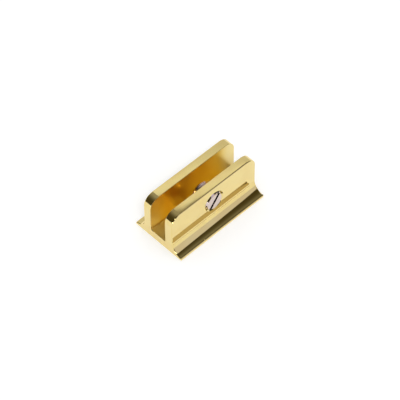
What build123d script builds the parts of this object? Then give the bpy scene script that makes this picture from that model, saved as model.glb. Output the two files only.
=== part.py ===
from build123d import *
import os

# Brass support that grips the edge of a glass shelf or panel.
# Frame: X along the body, Y across the glass slot, Z up from the underside of the foot.
# The grub screw comes in from the -Y side. All sizes are in millimetres.

# Body
body_length = 38.0
body_height = 17.5
wall_thickness = 3.2
glass_gap = 6.8
floor_thickness = 3.6
foot_lip = 1.0  # height of the foot's outer edge
cove_radius = 4.2  # hollow quarter round between wall and foot edge
wall_end_radius = 4.0  # rounding of each wall's two upper corners
slot_corner_radius = 0.4
slot_break = 0.12  # edges of the slot
foot_break = 0.25  # edges of the foot

# Grub screw and its tapped hole
thread_radius = 3.9
thread_clearance = 0.05
screw_length = 7.2
screw_proud = 0.3  # slotted end beyond the wall's outer face
screw_below_middle = 0.45  # axis below the middle of the wall's flat outer face
head_chamfer = 0.75
point_chamfer = 1.0
driver_slot_width = 1.0
driver_slot_depth = 2.0
driver_slot_angle = 52.0  # from +X towards +Z, seen from the front
mouth_break = 0.15

# Blind tapped hole for the fixing screw, in the underside
fixing_radius = 2.0
fixing_depth = 2.6
fixing_break = 0.25

# Places that follow from the sizes
gap_half = glass_gap / 2
wall_outer = gap_half + wall_thickness
foot_half = wall_outer + cove_radius
cove_top = foot_lip + cove_radius
bore_radius = thread_radius + thread_clearance
screw_height = (cove_top + body_height) / 2 - screw_below_middle
screw_outer = -wall_outer - screw_proud


def make_section():
    """Section across the body: foot, coves, two walls and the slot between them."""
    with BuildSketch(Plane.YZ) as section:
        with BuildLine():
            Line((0, 0), (foot_half, 0))
            Line((foot_half, 0), (foot_half, foot_lip))
            CenterArc((foot_half, cove_top), cove_radius, 270, -90)
            Line((wall_outer, cove_top), (wall_outer, body_height))
            Line((wall_outer, body_height), (gap_half, body_height))
            Line((gap_half, body_height), (gap_half, floor_thickness))
            Line((gap_half, floor_thickness), (0, floor_thickness))
            mirror(about=Plane.YZ)
        make_face()
    return section.sketch


def make_body():
    """One-piece body, with its wall ends rounded and its two holes cut."""
    body = extrude(make_section(), amount=body_length / 2, both=True)

    top_corners = body.edges().filter_by(Axis.Y).group_by(Axis.Z)[-1]
    body = fillet(top_corners, wall_end_radius)

    slot_corners = body.edges().filter_by(Axis.X).filter_by(
        lambda e: abs(e.center().Z - floor_thickness) < 1e-6
    )
    body = fillet(slot_corners, slot_corner_radius)

    slot_edges = body.edges().filter_by(lambda e: abs(e.center().Y) < gap_half + 1e-6)
    slot_rim = slot_edges.filter_by(lambda e: e.center().Z > foot_lip and is_crisp(body, e))
    body = fillet(slot_rim, slot_break)
    foot = body.edges().filter_by(lambda e: e.center().Z < foot_lip + 1e-6 and is_crisp(body, e))
    body = fillet(foot, foot_break)

    wall_middle = Vector(0, -(gap_half + wall_thickness / 2), screw_height)
    along_screw = Plane(origin=wall_middle, z_dir=(0, 1, 0))
    body -= along_screw * Cylinder(bore_radius, 2 * wall_thickness)
    mouths = body.edges().filter_by(GeomType.CIRCLE).filter_by(
        lambda e: abs(e.radius - bore_radius) < 1e-6
    )
    body = chamfer(mouths, mouth_break)

    fixing = Cylinder(fixing_radius, fixing_depth, align=(Align.CENTER, Align.CENTER, Align.MIN))
    body -= fixing
    rim = body.edges().filter_by(GeomType.CIRCLE).group_by(Axis.Z)[0].filter_by(
        lambda e: abs(e.radius - fixing_radius) < 1e-6
    )
    return chamfer(rim, fixing_break)


def is_crisp(solid, edge):
    """True for an edge where two faces of the solid meet at a real corner."""
    joined = [f for f in solid.faces() if any(edge.is_same(e) for e in f.edges())]
    middle = edge @ 0.5
    normals = [f.normal_at(middle) for f in joined]
    return len(normals) == 2 and normals[0].get_angle(normals[1]) > 30


def make_grub_screw():
    """Slotted grub screw, turned about its axis, with its slotted end outwards."""
    head_radius = thread_radius - head_chamfer
    point_radius = thread_radius - point_chamfer
    with BuildSketch() as half:
        with BuildLine():
            Polyline(
                (0, 0),
                (head_radius, 0),
                (thread_radius, head_chamfer),
                (thread_radius, screw_length - point_chamfer),
                (point_radius, screw_length),
                (0, screw_length),
                close=True,
            )
        make_face()
    blank = revolve(half.sketch, axis=Axis.Y, revolution_arc=360)

    driver_slot = Box(
        3 * thread_radius,
        driver_slot_depth,
        driver_slot_width,
        align=(Align.CENTER, Align.MIN, Align.CENTER),
    )
    screw = blank - Rot(0, -driver_slot_angle, 0) * driver_slot
    return Pos(0, screw_outer, screw_height) * screw


def main():
    os.makedirs("parts", exist_ok=True)
    export_step(make_body(), "parts/support_body.step")
    export_step(make_grub_screw(), "parts/grub_screw.step")


main()
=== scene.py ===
import math

import bmesh
import bpy
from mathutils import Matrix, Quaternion, Vector


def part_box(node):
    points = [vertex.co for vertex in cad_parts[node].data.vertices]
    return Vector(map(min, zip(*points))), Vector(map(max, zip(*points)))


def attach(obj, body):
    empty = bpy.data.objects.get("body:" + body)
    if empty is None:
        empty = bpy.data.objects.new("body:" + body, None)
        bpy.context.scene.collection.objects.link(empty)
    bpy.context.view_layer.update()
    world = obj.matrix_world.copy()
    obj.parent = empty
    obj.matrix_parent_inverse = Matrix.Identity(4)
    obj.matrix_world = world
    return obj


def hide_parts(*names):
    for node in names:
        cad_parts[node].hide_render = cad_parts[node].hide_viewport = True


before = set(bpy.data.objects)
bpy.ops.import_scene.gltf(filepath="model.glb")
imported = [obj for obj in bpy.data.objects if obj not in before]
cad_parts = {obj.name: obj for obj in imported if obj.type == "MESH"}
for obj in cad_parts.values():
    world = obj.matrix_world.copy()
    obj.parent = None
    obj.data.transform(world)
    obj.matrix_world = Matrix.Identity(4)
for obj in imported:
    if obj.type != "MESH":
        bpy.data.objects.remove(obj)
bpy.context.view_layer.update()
mm = 0.001
print("frame loaded:", sorted(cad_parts))


# Shader helpers

class Sock:  # an output of a shader node that takes part in sums
    def __init__(self, shader, socket):
        self.shader, self.socket = shader, socket

    def maths(self, operation, *values):
        return self.shader.node("Math", {"operation": operation}, dict(enumerate(values)))

    def __add__(self, other):
        return self.maths("ADD", self, other)

    __radd__ = __add__

    def __sub__(self, other):
        return self.maths("SUBTRACT", self, other)

    def __rsub__(self, other):
        return self.maths("SUBTRACT", other, self)

    def __mul__(self, other):
        return self.maths("MULTIPLY", self, other)

    __rmul__ = __mul__

    def __pow__(self, other):
        return self.maths("POWER", self, other)

    def __rpow__(self, other):
        return self.maths("POWER", other, self)

    def __abs__(self):
        return self.maths("ABSOLUTE", self)

    def atLeast(self, least):
        return self.maths("MAXIMUM", self, least)

    def atMost(self, most):
        return self.maths("MINIMUM", self, most)


class Shader:
    def __init__(self, tree):
        self.tree = tree
        tree.nodes.clear()

    def node(self, kind, settings=None, inputs=None, out=0):
        made = self.tree.nodes.new("ShaderNode" + kind)
        for name, value in (settings or {}).items():
            setattr(made, name, value)
        for name, value in (inputs or {}).items():
            if isinstance(value, Sock):
                self.tree.links.new(value.socket, made.inputs[name])
            else:
                made.inputs[name].default_value = value
        return Sock(self, made.outputs[out]) if made.outputs else made

    def lightPath(self, name):
        return self.node("LightPath", {}, {}, name)

    def objectPlace(self):  # in mm
        return self.stretch(self.node("TexCoord", {}, {}, "Object"), (1 / mm, 1 / mm, 1 / mm))

    def split(self, vector):
        parts = self.node("SeparateXYZ", {}, {0: vector})
        return [Sock(self, socket) for socket in parts.socket.node.outputs]

    def fade(self, value, start, end):  # 0 at start, 1 at end, smooth between them
        limits = {"Value": value, "From Min": start, "From Max": end}
        return self.node("MapRange", {"interpolation_type": "SMOOTHSTEP"}, limits)

    def blend(self, factor, first, second):  # colours
        inputs = {"Factor": factor, 6: first, 7: second}
        return self.node("Mix", {"data_type": "RGBA"}, inputs, 2)

    def stretch(self, vector, scale):
        return self.node("VectorMath", {"operation": "MULTIPLY"}, {0: vector, 1: scale})

    def noise(self, vector, detail, roughness=0.5):
        inputs = {"Vector": vector, "Scale": 1.0, "Detail": detail, "Roughness": roughness}
        return self.node("TexNoise", {"normalize": True}, inputs)


def newMaterial(name):
    material = bpy.data.materials.new(name)
    material.use_nodes = True
    return material, Shader(material.node_tree)


# Camera, from the fit to the photo's edges

camera = {
    "target": (-1.119, -1.165, 7.488),  # mm
    "distance": 654.27,
    "azimuth": -43.481,  # degrees, 0 looks along +Y
    "elevation": 51.997,
    "roll": -0.673,
    "lens": 179.74,
    "sensor": 36.0,
    "clip": (0.01, 20),  # m
}


def placeCamera():
    azimuth, elevation = math.radians(camera["azimuth"]), math.radians(camera["elevation"])
    away = Vector((
        math.sin(azimuth) * math.cos(elevation),
        -math.cos(azimuth) * math.cos(elevation),
        math.sin(elevation),
    ))
    data = bpy.data.cameras.new("camera")
    data.sensor_width = camera["sensor"]
    data.lens = camera["lens"]
    data.clip_start, data.clip_end = camera["clip"]
    seen = bpy.data.objects.new("camera", data)
    bpy.context.collection.objects.link(seen)
    seen.location = (Vector(camera["target"]) + away * camera["distance"]) * mm
    seen.rotation_mode = "QUATERNION"
    roll = Quaternion((0, 0, 1), math.radians(camera["roll"]))
    seen.rotation_quaternion = (-away).to_track_quat("-Z", "Y") @ roll
    bpy.context.scene.camera = seen


# Studio: a pale floor in a dim warm room, with a white backdrop behind, a white card at the right of
# the front, and a ceiling that only light mirrored twice or more shows, mostly in the slot. Angles are
# in degrees, azimuths from +Y towards +X.

studio = {
    "diffuseLight": 0.72,
    "room": (0.070, 0.056, 0.022, 1),  # what metal mirrors where nothing white stands
    "glow": 0.30,  # soft light high up behind
    "glowTowards": (22, 58),
    "glowTightness": 7,
    "backdrop": 0.67,
    "backdropTop": 0.21,  # its upper strip is brighter
    "backdropSides": (-5, 105),
    "backdropSideFade": 5,
    "backdropRim": 52.27,
    "backdropRimFade": 0.2,
    "backdropStrip": (50.6, 51.2),
    "ceiling": 8.5,
    "ceilingEdge": (67, 70),
    "ceilingAfter": (1.4, 1.6),  # reflections, from nothing to full
    "floorRadius": 2.0,  # m
    "floorSides": 96,
    "floorBelow": 0.02,  # mm under the foot
    "floorColour": (0.8, 0.8, 0.8, 1),
    "floorGlow": 0.34,
    "floorDim": 0.22,  # what metal sees less of it towards the front
    "floorDimFrom": (-12, -90),  # mm
}


def makeWorld():
    world = bpy.data.worlds.new("studio")
    world.use_nodes = True
    bpy.context.scene.world = world
    s = Shader(world.node_tree)
    direction = s.node("TexCoord", {}, {}, "Generated")
    x, y, z = s.split(direction)
    azimuth = x.maths("ARCTAN2", x, y) * math.degrees(1)
    elevation = z.maths("ARCSINE", z) * math.degrees(1)
    left, right = studio["backdropSides"]
    soft, rim, rimSoft = studio["backdropSideFade"], studio["backdropRim"], studio["backdropRimFade"]
    between = s.fade(azimuth, left - soft, left + soft) * s.fade(azimuth, right + soft, right - soft)
    onBackdrop = between * s.fade(elevation, rim + rimSoft, rim - rimSoft)
    inStrip = s.fade(elevation, *studio["backdropStrip"])
    backdrop = studio["backdrop"] + studio["backdropTop"] * inStrip
    around, up = (math.radians(angle) for angle in studio["glowTowards"])
    facing = x * (math.sin(around) * math.cos(up)) + y * (math.cos(around) * math.cos(up))
    facing = facing + z * math.sin(up)
    glow = studio["glow"] * facing.atLeast(0.0) ** studio["glowTightness"]
    inside = s.fade(s.lightPath("Glossy Depth"), *studio["ceilingAfter"])
    ceiling = s.fade(elevation, *studio["ceilingEdge"]) * studio["ceiling"] * inside
    mirrored = onBackdrop * backdrop + (1 - onBackdrop) * (glow + ceiling)
    isCamera, isGlossy = s.lightPath("Is Camera Ray"), s.lightPath("Is Glossy Ray")
    plain = studio["diffuseLight"] * (1 - isGlossy) * (1 - isCamera)
    strength = plain + isGlossy * mirrored + isCamera
    light = s.node("Background", {}, {"Color": (1, 1, 1, 1), "Strength": strength})
    room = s.node("Background", {}, {"Color": studio["room"], "Strength": isGlossy})
    both = s.node("AddShader", {}, {0: light, 1: room})
    s.node("OutputWorld", {}, {"Surface": both})


card = {  # mm; metal mirrors it, and it lights nothing else and casts no shadow
    "corners": ((-10, -218, 0), (180, -218, 0), (180, -218, 400), (-10, -218, 400)),
    "fade": (149, 141),  # x, from nothing to full
    "colour": (0.85, 0.83, 1.0, 1),
    "level": 0.87,
}


def makeCard():
    mesh = bpy.data.meshes.new("card")
    mesh.from_pydata([Vector(corner) * mm for corner in card["corners"]], [], [(0, 1, 2, 3)])
    board = bpy.data.objects.new("card", mesh)
    bpy.context.collection.objects.link(board)
    board.visible_camera = board.visible_diffuse = board.visible_shadow = False
    material, s = newMaterial("cardPaper")
    x = s.split(s.objectPlace())[0]
    seen = s.lightPath("Is Glossy Ray") * s.fade(x, *card["fade"])
    clear = s.node("BsdfTransparent", {}, {})
    glow = s.node("Emission", {}, {"Color": card["colour"], "Strength": card["level"]})
    both = s.node("MixShader", {}, {0: seen, 1: clear, 2: glow})
    s.node("OutputMaterial", {}, {"Surface": both})
    mesh.materials.append(material)


def makeFloor():
    bm = bmesh.new()
    bmesh.ops.create_circle(
        bm, cap_ends=True, segments=studio["floorSides"], radius=studio["floorRadius"],
    )
    mesh = bpy.data.meshes.new("floor")
    bm.to_mesh(mesh)
    bm.free()
    floor = bpy.data.objects.new("floor", mesh)
    floor.location.z = -studio["floorBelow"] * mm
    bpy.context.collection.objects.link(floor)
    material, s = newMaterial("floorPaper")
    isGlossy = s.lightPath("Is Glossy Ray")
    seen = isGlossy + s.lightPath("Is Camera Ray") + s.lightPath("Is Transmission Ray")
    y = s.split(s.objectPlace())[1]
    dim = isGlossy * studio["floorDim"] * s.fade(y, *studio["floorDimFrom"])
    paper = s.node("BsdfDiffuse", {}, {"Color": studio["floorColour"]})
    glow = s.node("Emission", {}, {"Strength": seen * studio["floorGlow"] - dim})
    both = s.node("AddShader", {}, {0: paper, 1: glow})
    s.node("OutputMaterial", {}, {"Surface": both})
    mesh.materials.append(material)


# Metres and watts. A mirrored lamp makes highlights on metal, and the other lights the paper.
lamps = {
    "keyLamp": {"place": (-0.55, -0.75, 1.3), "size": 0.35, "power": 6.0, "mirrored": False},
    "edgeLamp": {"place": (-1.1, -0.45, 0.12), "size": 0.28, "power": 3.2, "mirrored": True},
    "screwLamp": {"place": (-0.66, -0.73, 0.7), "size": 0.2, "power": 1.5, "mirrored": True},
}


def makeLamps():
    for name, lamp in lamps.items():
        data = bpy.data.lights.new(name, "AREA")
        data.size = lamp["size"]
        data.energy = lamp["power"]
        light = bpy.data.objects.new(name, data)
        light.location = lamp["place"]
        light.rotation_mode = "QUATERNION"
        light.rotation_quaternion = (-Vector(lamp["place"])).to_track_quat("-Z", "Y")
        light.visible_glossy = lamp["mirrored"]
        light.visible_diffuse = not lamp["mirrored"]
        light.visible_camera = False
        bpy.context.collection.objects.link(light)


placeCamera()
makeWorld()
makeFloor()
makeCard()
makeLamps()
bpy.context.scene.view_settings.view_transform = "Standard"
bpy.context.scene.cycles.glossy_bounces = 8  # the slot's two walls mirror each other
print("camera, studio and lamps placed")


# Polished brass, satin in the slot, which is milled after polishing, and a painted reflection colour,
# a deeper orange, in the slot

brass = {
    "colour": (0.81, 0.665, 0.29, 1),
    "deeper": (0.79, 0.625, 0.26, 1),  # in patches
    "deeperFrom": (0.35, 0.7),
    # painted reflection: a deeper orange that stands in for light mirrored back and forth between the
    # slot's walls
    "inSlot": (0.82, 0.58, 0.09, 1),
    "slotPaintedReflectionEnds": (16.5, 11),  # mm, where the slot's deeper colour, a painted reflection, starts and is full
    "roughness": 0.03,
    "smudge": 0.015,  # added in patches
    "smudgeFrom": (0.45, 0.7),
    "lineRoughness": 0.01,
    "slotRoughness": 0.28,
    "slotHalf": 3.46,  # mm, a little over half the slot's width
    "slotHalfFade": 0.04,
    "slotFloor": 3.5,  # mm, a little under the slot's floor
    "slotFloorFade": 0.1,
    "patches": (0.12, 0.12, 0.12),  # noise, per mm
    "lines": (0.06, 1.6, 1.6),
    "lineHeight": 0.0005,  # mm
    "waves": (0.10, 0.22, 0.22),
    "waveHeight": 0.008,
    "crown": 0.0006,  # mm, how far the walls' tops fall off 1 mm from their middle line
    "crownReach": 1.6,
    "outerCrown": 0.0006,  # more of it, with the fourth power, on their outer half
    "wallMiddle": 5.0,  # mm from the middle plane
    "endFall": 0.0004,  # the same towards the walls' ends, beyond endStart
    "endStart": 12.5,
    "coveLead": 0.095,  # mm, where polishing has turned the wall early into the cove
    "coveLeadFrom": (5.65, 4.6),
    "coveLeadSides": (6.5, 6.58),  # mm, on the walls' outer sides
    "coveLeadEnds": (0.6, 0.2),  # and not on the body's ends, by how far a face looks along x
}


def makeBrass(name):
    material, s = newMaterial(name)
    place = s.objectPlace()
    x, y, z = s.split(place)
    half, floor = brass["slotHalf"], brass["slotFloor"]
    inSlot = s.fade(abs(y), half + brass["slotHalfFade"], half - brass["slotHalfFade"])
    inSlot = inSlot * s.fade(z, floor - brass["slotFloorFade"], floor)
    patches = s.noise(s.stretch(place, brass["patches"]), 3)
    lines = s.noise(s.stretch(place, brass["lines"]), 4)
    waves = s.noise(s.stretch(place, brass["waves"]), 1)
    colour = s.blend(s.fade(patches, *brass["deeperFrom"]), brass["colour"], brass["deeper"])
    # painted reflection: the slot takes the deeper orange, which is full away from the slot's ends
    colour = s.blend(inSlot * s.fade(abs(x), *brass["slotPaintedReflectionEnds"]), colour, brass["inSlot"])
    smudges = brass["smudge"] * s.fade(patches, *brass["smudgeFrom"])
    polished = brass["roughness"] + smudges + brass["lineRoughness"] * lines
    rough = polished + (brass["slotRoughness"] - brass["roughness"]) * inSlot
    reach = brass["crownReach"]
    across = (abs(y) - brass["wallMiddle"]).atLeast(-reach).atMost(reach)
    outer = across.atLeast(0.0)
    past = (abs(x) - brass["endStart"]).atLeast(0.0)
    fall = brass["crown"] * across * across + brass["outerCrown"] * outer ** 4
    fall = fall + brass["endFall"] * past * past
    height = waves * brass["waveHeight"] + lines * brass["lineHeight"] - fall
    bump = s.node("Bump", {}, {"Strength": 1.0, "Distance": mm, "Height": height})
    alongBody = s.split(s.node("NewGeometry", {}, {}, "Normal"))[0]
    onSide = s.fade(abs(alongBody), *brass["coveLeadEnds"]) * s.fade(abs(y), *brass["coveLeadSides"])
    lead = brass["coveLead"] * s.fade(z, *brass["coveLeadFrom"])
    bump = s.node("Bump", {}, {"Strength": onSide, "Distance": mm, "Height": lead, "Normal": bump})
    metal = s.node("BsdfPrincipled", {}, {
        "Base Color": colour, "Metallic": 1.0, "Roughness": rough, "Normal": bump,
    })
    s.node("OutputMaterial", {}, {"Surface": metal})
    return material


polishedBrass = makeBrass("polishedBrass")
print("brass finished")


# Mesh helpers, all in mm. A place turns (across, up, along) about an axis into the part's frame.

weldDistance = 0.0005 * mm
roundSides = 96  # of everything turned


def aboutY(centre):  # right-handed: z, x, y
    return lambda a, b, along: Vector((centre[0] + b, along, centre[2] + a)) * mm


def aboutZ(centre):
    return lambda a, b, along: Vector((centre[0] + a, centre[1] + b, along)) * mm


def newPiece(name, bm, material=None, crease=30):
    bmesh.ops.recalc_face_normals(bm, faces=bm.faces)
    mesh = bpy.data.meshes.new(name)
    bm.to_mesh(mesh)
    bm.free()
    mesh.polygons.foreach_set("use_smooth", [True] * len(mesh.polygons))
    mesh.set_sharp_from_angle(angle=math.radians(crease))
    piece = bpy.data.objects.new(name, mesh)
    bpy.context.collection.objects.link(piece)
    if material:
        mesh.materials.append(material)
    return piece


def circleOf(bm, place, radius, along, sides):
    angles = [2 * math.pi * side / sides for side in range(sides)]
    return [bm.verts.new(place(radius * math.cos(a), radius * math.sin(a), along)) for a in angles]


# The outline is of (radius, along). It closes on itself if it stays off the axis.
def turned(name, place, outline, sides=roundSides):
    bm = bmesh.new()
    rings = [circleOf(bm, place, radius, along, sides) for radius, along in outline if radius > 0]
    solid = outline[0][0] == 0
    for first, second in zip(rings, rings[1:] + rings[:1]):
        if solid and second is rings[0]:
            break
        for side in range(sides):
            after = (side + 1) % sides
            bm.faces.new((first[side], first[after], second[after], second[side]))
    if solid:
        bm.faces.new(rings[0])
        bm.faces.new(rings[-1])
    return newPiece(name, bm)


def cut(piece, tool, operation="DIFFERENCE"):  # the tool is used up
    step = piece.modifiers.new("cut", "BOOLEAN")
    step.object, step.operation, step.solver = tool, operation, "EXACT"
    seen = bpy.context.evaluated_depsgraph_get()
    made = bpy.data.meshes.new_from_object(piece.evaluated_get(seen))
    piece.modifiers.clear()
    old, piece.data = piece.data, made
    bpy.data.meshes.remove(old)
    bpy.data.meshes.remove(tool.data)


def finishPiece(name, piece, material, body, crease=35):
    bm = bmesh.new()
    bm.from_mesh(piece.data)
    bmesh.ops.remove_doubles(bm, verts=bm.verts, dist=weldDistance)
    bmesh.ops.dissolve_degenerate(bm, edges=bm.edges, dist=weldDistance)
    bpy.data.meshes.remove(piece.data)
    finished = newPiece(name, bm, material, crease)
    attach(finished, body)
    return finished


# Body: the CAD body, with the outer edges that polishing has rounded

roundedEdges = {
    "radius": 0.4,  # mm
    "steps": 4,
    "beyond": 3.7,  # from the middle plane; nearer edges are the slot's
    "above": 1.02,
    "foldOver": 60,  # degrees between the faces of an edge
    "flatWithin": 0.5,  # degrees, where faces are joined before the rounding
}
lip = {  # the foot's long upper edges, rounded more than the CAD body's; mm
    "corner": (10.8, 1.007),  # y and z of the edge before rounding
    "reach": 0.255,  # of the CAD body's rounding
    "times": 2.0,  # as wide as the CAD body's
}


def isOuterEdge(edge):
    middle = (edge.verts[0].co + edge.verts[1].co) / 2 / mm
    outside = abs(middle.y) > roundedEdges["beyond"] and middle.z > roundedEdges["above"]
    return outside and edge.calc_face_angle(0) > math.radians(roundedEdges["foldOver"])


# Corner normals in which the larger faces outweigh the small, by this power of their areas.
def keepFlatsFlat(mesh, crease=32, power=3):
    limit = math.cos(math.radians(crease))
    around = [[] for vert in mesh.vertices]
    for face in mesh.polygons:
        for vert in face.vertices:
            around[vert].append(face)
    normals = []
    for face in mesh.polygons:
        for vert in face.vertices:
            near = [other for other in around[vert] if other.normal.dot(face.normal) > limit]
            total = sum((other.normal * (other.area / mm ** 2) ** power for other in near), Vector())
            normals.append(total.normalized() if total.length else face.normal)
    mesh.normals_split_custom_set(normals)


def makeBody(material):
    bm = bmesh.new()
    bm.from_mesh(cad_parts["support_body"].data)
    bmesh.ops.remove_doubles(bm, verts=bm.verts, dist=weldDistance)
    for vert in bm.verts:
        side = math.copysign(lip["corner"][0], vert.co.y)
        inward, down = vert.co.y / mm - side, vert.co.z / mm - lip["corner"][1]
        if max(abs(inward), abs(down)) < lip["reach"]:
            vert.co.y = (side + inward * lip["times"]) * mm
            vert.co.z = (lip["corner"][1] + down * lip["times"]) * mm
    # a seam at x = 0 parts the flat faces round the screw's hole into two simple halves
    everything = bm.verts[:] + bm.edges[:] + bm.faces[:]
    bmesh.ops.bisect_plane(
        bm, geom=everything, dist=weldDistance, plane_co=(0, 0, 0), plane_no=(1, 0, 0),
    )
    offSeam = [vert for vert in bm.verts if abs(vert.co.x) > weldDistance]
    across = [edge for edge in bm.edges if any(abs(vert.co.x) > weldDistance for vert in edge.verts)]
    flat = math.radians(roundedEdges["flatWithin"])
    bmesh.ops.dissolve_limit(bm, angle_limit=flat, verts=offSeam, edges=across)
    outerEdges = [edge for edge in bm.edges if isOuterEdge(edge)]
    bmesh.ops.bevel(
        bm, geom=outerEdges, offset=roundedEdges["radius"] * mm, offset_type="OFFSET",
        segments=roundedEdges["steps"], profile=0.5, affect="EDGES",
    )
    piece = newPiece("supportBody", bm, material)
    keepFlatsFlat(piece.data)
    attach(piece, "support")
    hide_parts("support_body")


# Screw threads: a rod with a right-hand thread is trimmed into the screw, or taps a hole

flankAngle = math.radians(30)
runOut = 1.5  # turns of thread before the rod's start, and about as many after its end


def turnProfile(thread):  # (height, radius) along one turn's profile, from the crest's start
    crest, root = thread["crest"], thread["root"]
    flank = (crest - root) * math.tan(flankAngle)
    flat = thread["crestFlat"]
    return [(0, crest), (flat, crest), (flat + flank, root), (thread["pitch"] - flank, root)]


def threadedRod(name, place, thread, start, end, sides=roundSides):
    pitch, profile = thread["pitch"], turnProfile(thread)
    turns, rows = math.ceil((end - start) / pitch + 2 * runOut), len(profile)
    bm = bmesh.new()
    columns = []
    for side in range(sides):
        angle = 2 * math.pi * side / sides
        low = start + (side / sides - runOut) * pitch
        heights = [
            (low + turn * pitch + height, radius)
            for turn in range(turns) for height, radius in profile
        ]
        columns.append([
            bm.verts.new(place(radius * math.cos(angle), radius * math.sin(angle), along))
            for along, radius in heights
        ])
    for column, beside in zip(columns, columns[1:] + [columns[0][rows:]]):
        for row in range(len(beside) - 1):
            bm.faces.new((column[row], beside[row], beside[row + 1], column[row + 1]))
    bottom = [column[0] for column in columns] + columns[0][rows:0:-1]
    top = [column[-1] for column in columns] + columns[-1][-2:-rows - 2:-1]
    first, last = start - runOut * pitch, start + (turns + 1 - runOut) * pitch
    for rim, along in ((bottom, first), (top, last)):
        middle = bm.verts.new(place(0, 0, along))
        for point, after in zip(rim, rim[1:] + rim[:1]):
            bm.faces.new((point, after, middle))
    return newPiece(name, bm)


# Grub screw and the tapped hole it runs in

screwLow, screwHigh = (Vector(corner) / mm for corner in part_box("grub_screw"))
screwThread = {"pitch": 1.25, "crest": 3.9, "root": 3.13, "crestFlat": 0.156}
screwTap = {"pitch": 1.25, "crest": 3.93, "root": 3.25, "crestFlat": 0.191}

grubScrew = {
    "axis": (0, 0, (screwLow.z + screwHigh.z) / 2),
    "head": screwLow.y,
    "point": screwHigh.y,
    "headChamfer": 0.75,  # across the screw
    "headChamferDepth": 1.2,  # and along it
    "pointChamfer": 1.0,
    "driverWidth": 1.0,
    "driverDepth": 2.0,
    "driverAngle": 52.0,  # from +X towards +Z
    "driverFlare": 0.08,
    "driverCorner": 0.2,
    "driverReach": 6,  # to each side of the axis, past the thread
    "driverAbove": 0.5,  # past the screw's end
    "blankOver": 0.4,  # how far the blank that trims the rod stands off the thread
}


def driverCutter(sizes):  # a bar with the section of the screwdriver slot
    half, flare = sizes["driverWidth"] / 2, sizes["driverFlare"]
    depth, corner = sizes["driverDepth"], sizes["driverCorner"]
    side = [(half + flare, -sizes["driverAbove"]), (half + flare, 0), (half, flare)]
    side += [
        (half - corner * (1 - math.cos(a)), depth - corner + corner * math.sin(a))
        for a in (0, math.pi / 6, math.pi / 3, math.pi / 2)
    ]
    section = side + [(-out, deep) for out, deep in reversed(side)]
    angle = math.radians(sizes["driverAngle"])
    lengthways = Vector((math.cos(angle), 0, math.sin(angle)))
    across = Vector((-math.sin(angle), 0, math.cos(angle)))
    bm = bmesh.new()
    ends = []
    for reach in (-sizes["driverReach"], sizes["driverReach"]):
        middle = Vector((sizes["axis"][0], sizes["head"], sizes["axis"][2])) + lengthways * reach
        points = [(middle + across * out + Vector((0, deep, 0))) * mm for out, deep in section]
        ends.append([bm.verts.new(point) for point in points])
        bm.faces.new(ends[-1])
    for point in range(len(section)):
        after = (point + 1) % len(section)
        bm.faces.new((ends[0][point], ends[0][after], ends[1][after], ends[1][point]))
    return newPiece("driverCutter", bm)


def makeGrubScrew(material):
    sizes, crest = grubScrew, screwThread["crest"]
    place = aboutY(sizes["axis"])
    head, point, over = sizes["head"], sizes["point"], sizes["blankOver"]
    slope = sizes["headChamferDepth"] / sizes["headChamfer"]
    screw = threadedRod("screwRod", place, screwThread, head, point)
    blank = turned("screwBlank", place, [
        (0, head),
        (crest - sizes["headChamfer"], head),
        (crest + over, head + sizes["headChamferDepth"] + over * slope),
        (crest + over, point - sizes["pointChamfer"] - over),
        (crest - sizes["pointChamfer"], point),
        (0, point),
    ])
    cut(screw, blank, "INTERSECT")
    cut(screw, driverCutter(sizes))
    screw = finishPiece("grubScrew", screw, material, "screw")
    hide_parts("grub_screw")


tappedHole = {
    "radius": 3.95,  # the CAD body's plain bore
    "minor": 3.32,
    "ends": (-6.45, -3.55),  # inside the bore's two chamfers
    "sunk": 0.03,  # into the bore's wall
}


def makeTappedHole(material):
    sizes, place = tappedHole, aboutY(grubScrew["axis"])
    start, end = sizes["ends"]
    lead = sizes["radius"] - sizes["minor"]
    wall = sizes["radius"] + sizes["sunk"]
    sleeve = turned("sleeve", place, [
        (wall, start), (wall, end), (sizes["radius"], end), (sizes["minor"], end - lead),
        (sizes["minor"], start + lead), (sizes["radius"], start),
    ])
    tap = threadedRod("screwTap", place, screwTap, grubScrew["head"], grubScrew["point"])
    cut(sleeve, tap)
    finishPiece("screwHoleThread", sleeve, material, "support")


# Thread of the blind fixing hole in the foot's underside

fixingTap = {"pitch": 0.7, "crest": 1.99, "root": 1.60, "crestFlat": 0.10}
fixingHole = {"radius": 2.0, "minor": 1.65, "ends": (0.25, 2.58), "sunk": 0.03}


def makeFixingThread(material):
    sizes, place = fixingHole, aboutZ((0, 0, 0))
    start, end = sizes["ends"]
    lead = sizes["radius"] - sizes["minor"]
    wall = sizes["radius"] + sizes["sunk"]
    sleeve = turned("sleeve", place, [
        (wall, start), (wall, end), (sizes["minor"], end), (sizes["minor"], start + lead),
        (sizes["radius"], start),
    ])
    tap = threadedRod("fixingTap", place, fixingTap, start, end)
    cut(sleeve, tap)
    finishPiece("fixingHoleThread", sleeve, material, "support")


# Plated steel

plating = {
    "colour": (0.66, 0.56, 0.53, 1),
    "roughness": 0.09,
    "smudge": 0.06,  # added in patches
    "smudgeFrom": (0.4, 0.7),
    "patches": (0.5, 0.5, 0.5),  # noise, per mm
    "dents": 0.015,  # mm
}


def makePlating():
    material, s = newMaterial("platedSteel")
    patches = s.noise(s.stretch(s.objectPlace(), plating["patches"]), 3)
    rough = plating["roughness"] + plating["smudge"] * s.fade(patches, *plating["smudgeFrom"])
    bump = s.node("Bump", {}, {"Strength": 1.0, "Distance": plating["dents"] * mm, "Height": patches})
    metal = s.node("BsdfPrincipled", {}, {
        "Base Color": plating["colour"], "Metallic": 1.0, "Roughness": rough, "Normal": bump,
    })
    s.node("OutputMaterial", {}, {"Surface": metal})
    return material


makeBody(polishedBrass)
print("body's edges rounded")
makeGrubScrew(makePlating())
print("grub screw threaded and slotted")
makeTappedHole(polishedBrass)
makeFixingThread(polishedBrass)
print("holes tapped")
